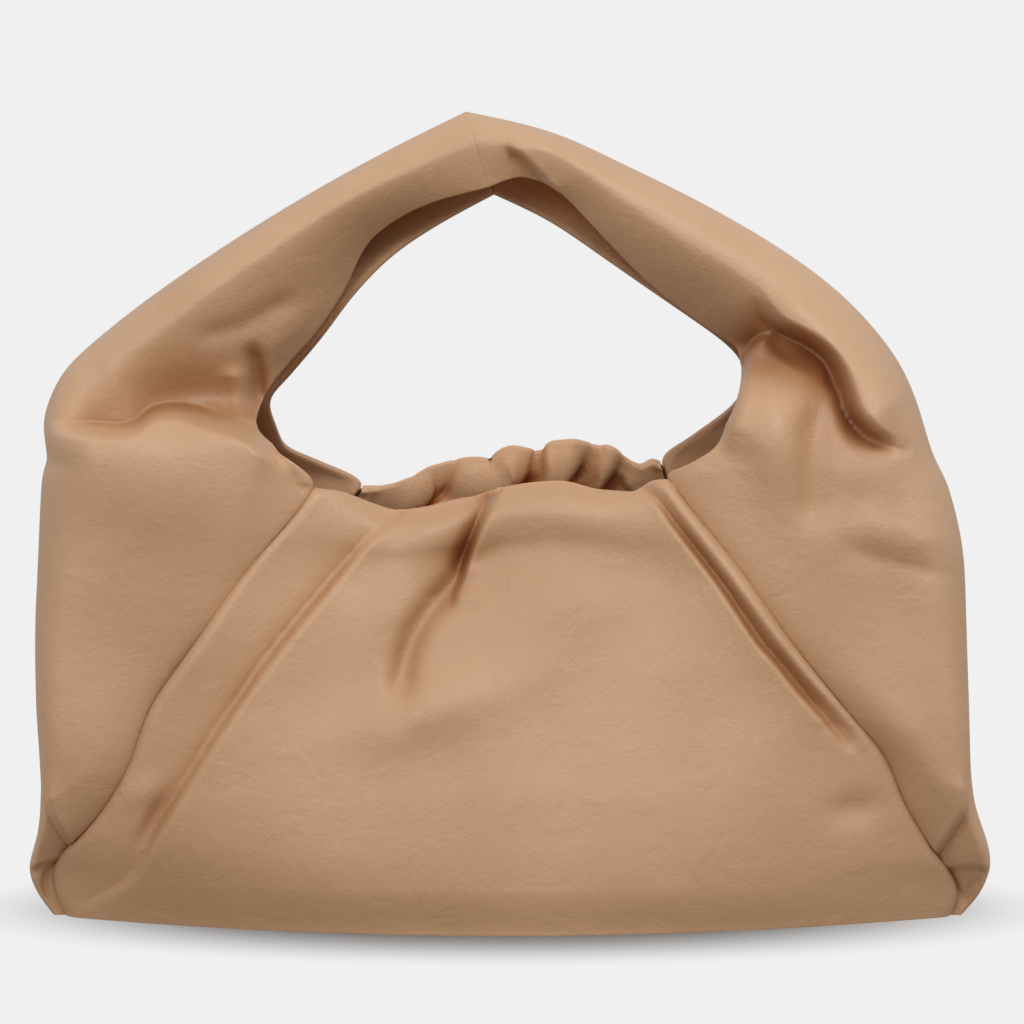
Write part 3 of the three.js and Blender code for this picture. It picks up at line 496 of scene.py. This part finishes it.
def nearest_on_line(line, seen):
    """Signed distance, positive on the right of the line, the share along it, how far past an end,
    and the way to the right."""
    runs = np.diff(line, axis=0)
    lengths = np.linalg.norm(runs, axis=1)
    starts = np.concatenate([[0], np.cumsum(lengths)])
    gaps, walks, sides = [], [], []
    for start, run, length, before in zip(line[:-1], runs, lengths, starts):
        off = seen - start
        t = np.clip((off @ run) / length ** 2, 0, 1)
        gaps.append(np.linalg.norm(off - t[..., None] * run, axis=-1))
        walks.append(before + t * length)
        sides.append(off @ np.array([-run[1], run[0]]) > 0)
    gaps, walks = np.array(gaps), np.array(walks)
    nearest = gaps.argmin(axis=0)[None]
    gap = np.take_along_axis(gaps, nearest, 0)[0]
    raised = np.take_along_axis(np.array(sides), nearest, 0)[0]
    share_of = np.exp((gap ** 2 - gaps ** 2) / (2 * LINE_BLEND ** 2 + gap ** 2 / 8))
    share_of /= share_of.sum(axis=0)
    walked = (share_of * walks).sum(axis=0) - LINE_EXTENSION
    rights = np.stack([-runs[:, 1], runs[:, 0]], axis=-1) / lengths[:, None]
    way = np.tensordot(share_of, rights, axes=(0, 0))
    total = starts[-1] - 2 * LINE_EXTENSION
    past = np.maximum(0, np.maximum(-walked, walked - total))
    return np.where(raised, gap, -gap), np.clip(walked / total, 0, 1), past, way


def faded(signed, share, past, start, end):
    """How much of a fold is left at each place: it dies away past its ends, more slowly far off."""
    along_line = mix(start, 1, smoothstep(0, 0.25, share)) * mix(1, end, smoothstep(0.75, 1, share))
    return along_line * np.exp(-(past / (PAST_REACH + PAST_SPREAD * np.abs(signed))) ** 2)


def apply_folds(points, piece, side, weight):
    """Moves a grid out or in by its folds, and slides each lap's raised side over its low side."""
    seen = picture_place(points)
    out = np.zeros(seen.shape[:-1])
    slide = np.zeros(seen.shape)
    for on, height, roll, reach, dip, dip_reach, tuck, start, end, line in LAPS:
        if on != piece:
            continue
        signed, share, past, way = nearest_on_line(smooth_line(line), seen)
        fade = faded(signed, share, past, start, end)
        raised = signed >= 0
        turned = np.clip(signed / roll, 0, 1)
        rise = mix(np.sqrt(1 - (1 - turned) ** 2), np.sin(math.pi / 2 * turned), LIP_SOFTNESS)
        high = height * rise * np.exp(-np.maximum(0, signed - roll) / reach)
        high -= dip * (1 - smoothstep(0, roll, signed))
        low = -dip * np.exp(np.minimum(0, signed) / dip_reach)
        out += fade * np.where(raised, high, low)
        push = tuck * fade * np.exp(-(signed / np.where(raised, 1.5 * roll, TUCK_REACH)) ** 2)
        slide -= way * push[..., None]
    for on, height, width, start, end, line in SWELLS:
        if on != piece:
            continue
        signed, share, past, way = nearest_on_line(smooth_line(line), seen)
        out += height * faded(signed, share, past, start, end) * np.exp(-(signed / width) ** 2)
    for on, height, middle, down, long, wide, slope in BULGES:
        if on != piece:
            continue
        ahead = np.array([math.cos(math.radians(slope)), math.sin(math.radians(slope))])
        off = seen - np.array([middle, down])
        lengthwise = off @ ahead / long
        crosswise = off @ np.array([-ahead[1], ahead[0]]) / wide
        out += height * np.exp(-lengthwise ** 2 - crosswise ** 2)
    moved = points.copy()
    moved[..., 0] += slide[..., 0] * weight
    moved[..., 1] += side * out * weight
    moved[..., 2] -= slide[..., 1] * weight
    return moved


def side_grid(rows, name, hand):
    at = np.concatenate([np.linspace(0, RIM_AT, BODY_ROWS, endpoint=False),
                         np.linspace(RIM_AT, ELBOW_AT, ELBOW_ROWS, endpoint=False),
                         np.linspace(ELBOW_AT, 1, HANDLE_ROWS)])
    turn = np.concatenate([np.linspace(-1, 0, FRONT_TURNS, endpoint=False), np.linspace(0, 1, BACK_TURNS)])
    points = side_points(rows, at, turn)
    weight = smoothstep(0, CREST_SHARE, np.abs(turn))[None, :]
    ahead = apply_folds(points, name, -1, weight)
    behind = apply_folds(points, "back_" + name, 1, weight)
    folded = np.where((turn < 0)[None, :, None], ahead, behind)
    for edge in (0, -1):
        gap = SEAM_SLANT * np.linalg.norm((points - points[:, edge:edge + 1 or None])[..., ::2], axis=-1)
        below = smoothstep(RIM_AT + SEAM_ENDS_ABOVE, RIM_AT - SEAM_FULL_BELOW, at)[:, None]
        out = -SEAM_DIP * np.exp(-gap / SEAM_DIP_REACH) * below
        folded[..., 1] += np.sign(turn)[None, :] * out
    flip = slice(None, None, -1 if hand < 0 else 1)
    return folded[:, flip], points[:, flip]


def panel_grid(side, rim):
    at = np.linspace(0, 1, SEAM_STEPS + 1)
    points = panel_points(side, rim, at)
    folded = apply_folds(points, "front" if side < 0 else "back", side, 1.0)
    left = SEAM_SLANT * (points[..., 0] - points[:, :1, 0])
    right = SEAM_SLANT * (points[:, -1:, 0] - points[..., 0])
    for gap in (left, right):
        rise = np.sqrt(1 - (1 - np.clip(gap / SEAM_ROLL, 0, 1)) ** 2)
        out = SEAM_STEP * rise * np.exp(-np.maximum(0, gap - SEAM_ROLL) / SEAM_REACH)
        out -= SEAM_DIP * (1 - rise)
        folded[..., 1] += side * out
    below_rim = (points[-1:, :, 2] - points[..., 2])
    shoulder = 1 - np.sqrt(1 - (1 - np.clip(below_rim / RIM_ROLL, 0, 1)) ** 2)
    folded[..., 1] -= side * RIM_ROLL_DEPTH * shoulder
    flip = slice(None, None, 1 if side < 0 else -1)
    return folded[:, flip], points[:, flip]


def grid_normals(grid):
    upward = np.gradient(grid, axis=0)
    sideways = np.gradient(grid, axis=1)
    normals = np.cross(sideways, upward)
    normals[0, :, 2] = 0
    return normals / np.maximum(np.linalg.norm(normals, axis=-1, keepdims=True), 1e-9)


def mesh_object(name, vertices, faces, material):
    mesh = bpy.data.meshes.new(name)
    mesh.from_pydata((vertices / METRE).tolist(), [], faces.tolist())
    mesh.validate()
    mesh.polygons.foreach_set("use_smooth", [True] * len(mesh.polygons))
    mesh.materials.append(material)
    obj = bpy.data.objects.new(name, mesh)
    bpy.context.scene.collection.objects.link(obj)
    return obj


def wall_object(name, outer, inner, material):
    """Closes two grids, one over the other, into one wall with rounded edges."""
    lines, columns = outer.shape[:2]
    count = lines * columns
    ids = np.arange(count).reshape(lines, columns)
    quads = [
        np.stack([ids[:-1, :-1], ids[:-1, 1:], ids[1:, 1:], ids[1:, :-1]], -1).reshape(-1, 4),
        count + np.stack([ids[:-1, :-1], ids[1:, :-1], ids[1:, 1:], ids[:-1, 1:]], -1).reshape(-1, 4),
    ]
    vertices = [outer.reshape(-1, 3), inner.reshape(-1, 3)]
    loop = np.concatenate([ids[0, :-1], ids[:-1, -1], ids[-1, :0:-1], ids[:0:-1, 0]])
    inside = np.concatenate([ids[1, :-1], ids[:-1, -2], ids[-2, :0:-1], ids[:0:-1, 1]])
    flat = outer.reshape(-1, 3)
    flat_inner = inner.reshape(-1, 3)
    outward = flat[loop] - flat[inside]
    outward /= np.maximum(np.linalg.norm(outward, axis=1, keepdims=True), 1e-9)
    middle = (flat[loop] + flat_inner[loop]) / 2
    half = flat[loop] - middle
    radius = np.linalg.norm(half, axis=1, keepdims=True)
    rings = [loop]
    total = 2 * count
    for step in range(1, EDGE_ROUNDING + 1):
        angle = math.pi * step / (EDGE_ROUNDING + 1)
        ring = middle + half * math.cos(angle) + outward * radius * math.sin(angle) * EDGE_FULLNESS
        vertices.append(ring)
        rings.append(total + np.arange(len(loop)))
        total += len(loop)
    rings.append(count + loop)
    for near, far in zip(rings[:-1], rings[1:]):
        quads.append(np.stack([np.roll(near, -1), near, far, np.roll(far, -1)], -1))
    return mesh_object(name, np.vstack(vertices), np.vstack(quads), material)


def leather_wall(name, grid, normals, material, painted_light_material):
    """A wall of leather whose inner face takes a paler copy of the leather: painted light on the shaded
    inside.
    """
    wall = wall_object(name, grid, grid - normals * LEATHER, material)
    # The second slot is a paler copy of the leather, painted light for the shaded inside of the wall.
    wall.data.materials.append(painted_light_material)
    quads = (grid.shape[0] - 1) * (grid.shape[1] - 1)
    for face in wall.data.polygons[quads:2 * quads]:
        face.material_index = 1
    return wall


def facing_wall(name, grid, normals, gathers, rolled, material):
    """Turned-in leather: it goes down inside its panel in soft gathers, rolled over the rim or below it."""
    first = FACING_INSET
    last = grid.shape[1] - 1 - first
    top = grid.shape[0] - 1 - (0 if rolled else RIM_INSET_ROWS)
    place = np.linspace(0, 1, last - first + 1)
    ends = np.sin(math.pi * np.clip(place, 0.001, 0.999)) ** 0.5
    thick = LEATHER + FACING_CLEARANCE + FACING_LEATHER

    def roll_at(share):
        """How far the gathered leather stands off its panel, at a share of the way down."""
        waves = zip(*(gathers[column] for column in GATHER_COLUMNS))
        total = GATHER_LEVEL + sum(height * np.exp(-((place - at - slant * share) / width) ** 2)
                                   for at, height, width, slant in waves)
        return GATHER_HEIGHT * np.maximum(0, total) * ends

    rows = []
    rim, out = grid[top, first:last + 1], normals[top, first:last + 1]
    roll = roll_at(0)
    for step in range(ROLL_STEPS if rolled else 0):
        angle = math.pi * step / ROLL_STEPS
        across_rim = (thick + ROLL_START * roll) / 2
        depth = across_rim * (1 - math.cos(angle)) - ROLL_PROUD * math.cos(angle)
        lift = (thick / 2 + ROLL_LIFT * roll + ROLL_PROUD) * math.sin(angle) - ROLL_DROP
        rows.append(rim - out * depth[:, None] + np.array([0, 0, 1.0]) * lift[:, None])
    for step in range(FACING_STEPS + 1):
        share = step / FACING_STEPS
        swell = mix(ROLL_START, 1.0, math.sin(math.pi * min(1, share / ROLL_FULL) / 2))
        swell *= (1 - share) ** ROLL_FALL_POWER
        line = top - step
        depth = thick + ROLL_PROUD + roll_at(share) * swell
        rows.append(grid[line, first:last + 1] - normals[line, first:last + 1] * depth[:, None]
                    - np.array([0, 0, ROLL_DROP]))
    surface = np.stack(rows)
    inside = -np.cross(np.gradient(surface, axis=1), np.gradient(surface, axis=0))
    inside /= np.maximum(np.linalg.norm(inside, axis=-1, keepdims=True), 1e-9)
    return wall_object(name, surface, surface + inside * FACING_LEATHER * FACING_WALL_SHARE, material)


def new_material(name):
    material = bpy.data.materials.new(name)
    material.use_nodes = True
    nodes = material.node_tree.nodes
    return material, nodes, material.node_tree.links, nodes["Principled BSDF"]


def leather_material(name, shade, deepest):
    """Soft pebbled leather, a little mottled, with painted shade: darker and warmer in its folds and
    creases.
    """
    material, nodes, links, shader = new_material(name)
    coords = nodes.new("ShaderNodeTexCoord")
    tone = nodes.new("ShaderNodeTexNoise")
    tone.inputs["Scale"].default_value = 9
    tone.inputs["Detail"].default_value = 4
    links.new(coords.outputs["Object"], tone.inputs["Vector"])
    ramp = nodes.new("ShaderNodeValToRGB")
    ramp.color_ramp.elements[0].position = 0.35
    ramp.color_ramp.elements[0].color = (*(part * shade for part in TAN_DARK), 1)
    ramp.color_ramp.elements[1].position = 0.65
    ramp.color_ramp.elements[1].color = (*(part * shade for part in TAN_LIGHT), 1)
    links.new(tone.outputs["Fac"], ramp.inputs["Fac"])
    # Painted shade: the colour is darkened and deepened where nearby leather closes a point in, in folds
    # and creases; deepest sets how strong it is.
    hollow = nodes.new("ShaderNodeAmbientOcclusion")
    hollow.samples = 8
    hollow.only_local = True
    hollow.inputs["Distance"].default_value = 0.03
    painted_shade_gamma = nodes.new("ShaderNodeMapRange")
    painted_shade_gamma.inputs["From Min"].default_value = 0.2
    painted_shade_gamma.inputs["From Max"].default_value = 0.92
    painted_shade_gamma.inputs["To Min"].default_value = deepest
    painted_shade_gamma.inputs["To Max"].default_value = 1.0
    painted_shade = nodes.new("ShaderNodeGamma")
    links.new(hollow.outputs["AO"], painted_shade_gamma.inputs["Value"])
    links.new(ramp.outputs["Color"], painted_shade.inputs["Color"])
    links.new(painted_shade_gamma.outputs["Result"], painted_shade.inputs["Gamma"])
    links.new(painted_shade.outputs["Color"], shader.inputs["Base Color"])
    shader.inputs["Roughness"].default_value = 0.46
    shader.inputs["Specular IOR Level"].default_value = 0.5
    creases = nodes.new("ShaderNodeTexNoise")
    creases.inputs["Scale"].default_value = 60
    creases.inputs["Detail"].default_value = 6
    creases.inputs["Distortion"].default_value = 1.2
    links.new(coords.outputs["Object"], creases.inputs["Vector"])
    grain = nodes.new("ShaderNodeTexVoronoi")
    grain.inputs["Scale"].default_value = 620
    grain.inputs["Randomness"].default_value = 1
    links.new(coords.outputs["Object"], grain.inputs["Vector"])
    rumpled = nodes.new("ShaderNodeBump")
    rumpled.inputs["Strength"].default_value = 0.3
    rumpled.inputs["Distance"].default_value = 0.0022
    links.new(creases.outputs["Fac"], rumpled.inputs["Height"])
    pebbled = nodes.new("ShaderNodeBump")
    pebbled.inputs["Strength"].default_value = 0.22
    pebbled.inputs["Distance"].default_value = 0.0005
    links.new(grain.outputs["Distance"], pebbled.inputs["Height"])
    links.new(rumpled.outputs["Normal"], pebbled.inputs["Normal"])
    links.new(pebbled.outputs["Normal"], shader.inputs["Normal"])
    return material


def base_slab(walls, material):
    inset = LEATHER + SEAM_GAP
    outline = np.concatenate([grid[0, :-1] - normals[0, :-1] * inset for grid, normals in walls])
    count = len(outline)
    low = outline.copy()
    low[:, 2] = 0
    high = low.copy()
    high[:, 2] = BASE_LEATHER
    vertices = np.vstack([[(0, 0, 0), (0, 0, BASE_LEATHER)], low, high])
    ring = np.arange(count)
    after = np.roll(ring, -1)
    faces = [(0, 2 + b, 2 + a) for a, b in zip(ring, after)]
    faces += [(1, 2 + count + a, 2 + count + b) for a, b in zip(ring, after)]
    faces += [(2 + a, 2 + b, 2 + count + b, 2 + count + a) for a, b in zip(ring, after)]
    mesh = bpy.data.meshes.new("base_leather")
    mesh.from_pydata((vertices / METRE).tolist(), [], faces)
    mesh.materials.append(material)
    obj = bpy.data.objects.new("base_leather", mesh)
    bpy.context.scene.collection.objects.link(obj)
    return obj


def dress(piece, node):
    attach(piece, "root")
    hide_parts(node)


def area_light(name, place, size, power):
    data = bpy.data.lights.new(name, "AREA")
    data.shape = "RECTANGLE"
    data.size, data.size_y = size
    data.energy = power
    light = bpy.data.objects.new(name, data)
    light.location = place
    light.rotation_euler = (Vector(LIGHT_TARGET) - Vector(place)).to_track_quat("-Z", "Y").to_euler()
    bpy.context.scene.collection.objects.link(light)


def build_stage():
    """A pale floor that bends up behind, evenly bright but for a darker oval round the bag: painted shadow,
    which also takes the bag's cast shadow.
    """
    material, nodes, links, shader = new_material("pale_floor")
    # Dark grey inside the oval: painted shadow round the bag, on top of the shadow the bag casts; outside
    # it the floor glows evenly pale.
    shader.inputs["Base Color"].default_value = (0.23, 0.23, 0.23, 1)
    shader.inputs["Roughness"].default_value = 1.0
    shader.inputs["Specular IOR Level"].default_value = 0.0
    glow = nodes.new("ShaderNodeEmission")
    glow.inputs["Color"].default_value = (1, 1, 1, 1)
    glow.inputs["Strength"].default_value = BACKDROP_TONE
    coords = nodes.new("ShaderNodeTexCoord")
    oval = nodes.new("ShaderNodeVectorMath")
    oval.operation = "MULTIPLY"
    oval.inputs[1].default_value = (1 / 0.265, 1 / 0.158, 0)
    distance = nodes.new("ShaderNodeVectorMath")
    distance.operation = "LENGTH"
    spread = nodes.new("ShaderNodeMapRange")
    spread.interpolation_type = "SMOOTHSTEP"
    spread.inputs["From Min"].default_value = 0.45
    spread.inputs["From Max"].default_value = 0.98
    blend = nodes.new("ShaderNodeMixShader")
    links.new(coords.outputs["Object"], oval.inputs[0])
    links.new(oval.outputs["Vector"], distance.inputs[0])
    links.new(distance.outputs["Value"], spread.inputs["Value"])
    links.new(spread.outputs["Result"], blend.inputs["Fac"])
    links.new(shader.outputs["BSDF"], blend.inputs[1])
    links.new(glow.outputs["Emission"], blend.inputs[2])
    links.new(blend.outputs["Shader"], nodes["Material Output"].inputs["Surface"])
    mesh = bpy.data.meshes.new("floor")
    half, ahead, depth, height, bend = 3.0, 3.0, 2.5, 3.0, 0.8
    profile = [(-ahead, 0.0), (depth - bend, 0.0)]
    for step in range(1, BEND_STEPS + 1):
        angle = math.pi / 2 * step / BEND_STEPS
        profile.append((depth - bend + bend * math.sin(angle), bend - bend * math.cos(angle)))
    profile.append((depth, height))
    vertices = [(x, y, z) for y, z in profile for x in (-half, half)]
    faces = [(2 * i, 2 * i + 1, 2 * i + 3, 2 * i + 2) for i in range(len(profile) - 1)]
    mesh.from_pydata(vertices, [], faces)
    mesh.polygons.foreach_set("use_smooth", [True] * len(faces))
    mesh.materials.append(material)
    floor = bpy.data.objects.new("floor", mesh)
    floor.visible_diffuse = False
    floor.visible_glossy = False
    bpy.context.scene.collection.objects.link(floor)


def build_world():
    """A soft white room: bright overhead, paler at eye height and dim below."""
    world = bpy.data.worlds.new("studio")
    world.use_nodes = True
    nodes = world.node_tree.nodes
    links = world.node_tree.links
    coords = nodes.new("ShaderNodeTexCoord")
    split = nodes.new("ShaderNodeSeparateXYZ")
    ramp = nodes.new("ShaderNodeValToRGB")
    height = nodes.new("ShaderNodeMapRange")
    height.inputs["From Min"].default_value = -1
    height.inputs["From Max"].default_value = 1
    ramp.color_ramp.interpolation = "EASE"
    ramp.color_ramp.elements[0].position = 0.20
    ramp.color_ramp.elements[0].color = (0.44, 0.37, 0.30, 1)
    ramp.color_ramp.elements[1].position = 0.80
    ramp.color_ramp.elements[1].color = (1, 1, 1, 1)
    links.new(coords.outputs["Generated"], split.inputs["Vector"])
    links.new(split.outputs["Z"], height.inputs["Value"])
    links.new(height.outputs["Result"], ramp.inputs["Fac"])
    links.new(ramp.outputs["Color"], nodes["Background"].inputs["Color"])
    nodes["Background"].inputs["Strength"].default_value = ROOM_LIGHT
    bpy.context.scene.world = world
    bpy.context.scene.view_settings.view_transform = "Standard"


def build_lights():
    area_light("key", (0.75, -1.3, 1.65), (0.9, 0.9), KEY_LIGHT)
    area_light("fill", (-0.8, -1.9, 1.1), (1.0, 1.0), FILL_LIGHT)
    area_light("top", (0.1, -0.2, 1.6), (1.4, 1.0), TOP_LIGHT)


def build_camera():
    data = bpy.data.cameras.new("camera")
    data.sensor_width = 36
    data.lens = CAMERA_LENS
    camera = bpy.data.objects.new("camera", data)
    camera.location = (CAMERA_ACROSS / METRE, -CAMERA_AHEAD / METRE, CAMERA_HEIGHT / METRE)
    camera.rotation_euler = (math.radians(90 - CAMERA_TILT), 0, 0)
    bpy.context.scene.collection.objects.link(camera)
    bpy.context.scene.camera = camera


leather = leather_material("tan_leather", 1.0, 2.3)
# Paler copy for the turned-in facing: painted light over the whole facing, and stronger painted shade in
# the creases between its gathers.
facing_leather = leather_material("facing_leather", 1.30, 3.2)
base_leather = leather_material("base_leather", 0.9, 3.0)
# Paler copy for the inner faces: painted light where the inside of the walls lies in shade, with weaker
# painted shade in its creases.
inner_leather_painted_light = leather_material("inner_leather_painted_light", 1.45, 1.6)

grids = {
    "front": panel_grid(-1, FRONT_RIM),
    "right": side_grid(RIGHT_SECTIONS, "right", 1),
    "back": panel_grid(1, BACK_RIM),
    "left": side_grid(LEFT_SECTIONS, "left", -1),
}
walls = {name: (folded, grid_normals(plain)) for name, (folded, plain) in grids.items()}

dress(leather_wall("front_leather", *walls["front"], leather, inner_leather_painted_light), "front_panel")
dress(leather_wall("back_leather", *walls["back"], leather, inner_leather_painted_light), "back_panel")
dress(leather_wall("left_leather", *walls["left"], leather, inner_leather_painted_light), "side_handle_left")
dress(leather_wall("right_leather", *walls["right"], leather, inner_leather_painted_light),
      "side_handle_right")
dress(facing_wall("front_facing", *walls["front"], FRONT_GATHERS, 0, facing_leather),
      "rim_facing_front")
dress(facing_wall("back_facing", *walls["back"], BACK_GATHERS, 1, facing_leather),
      "rim_facing_back")
dress(base_slab(walls.values(), base_leather), "base_panel")

build_stage()
build_world()
build_lights()
build_camera()
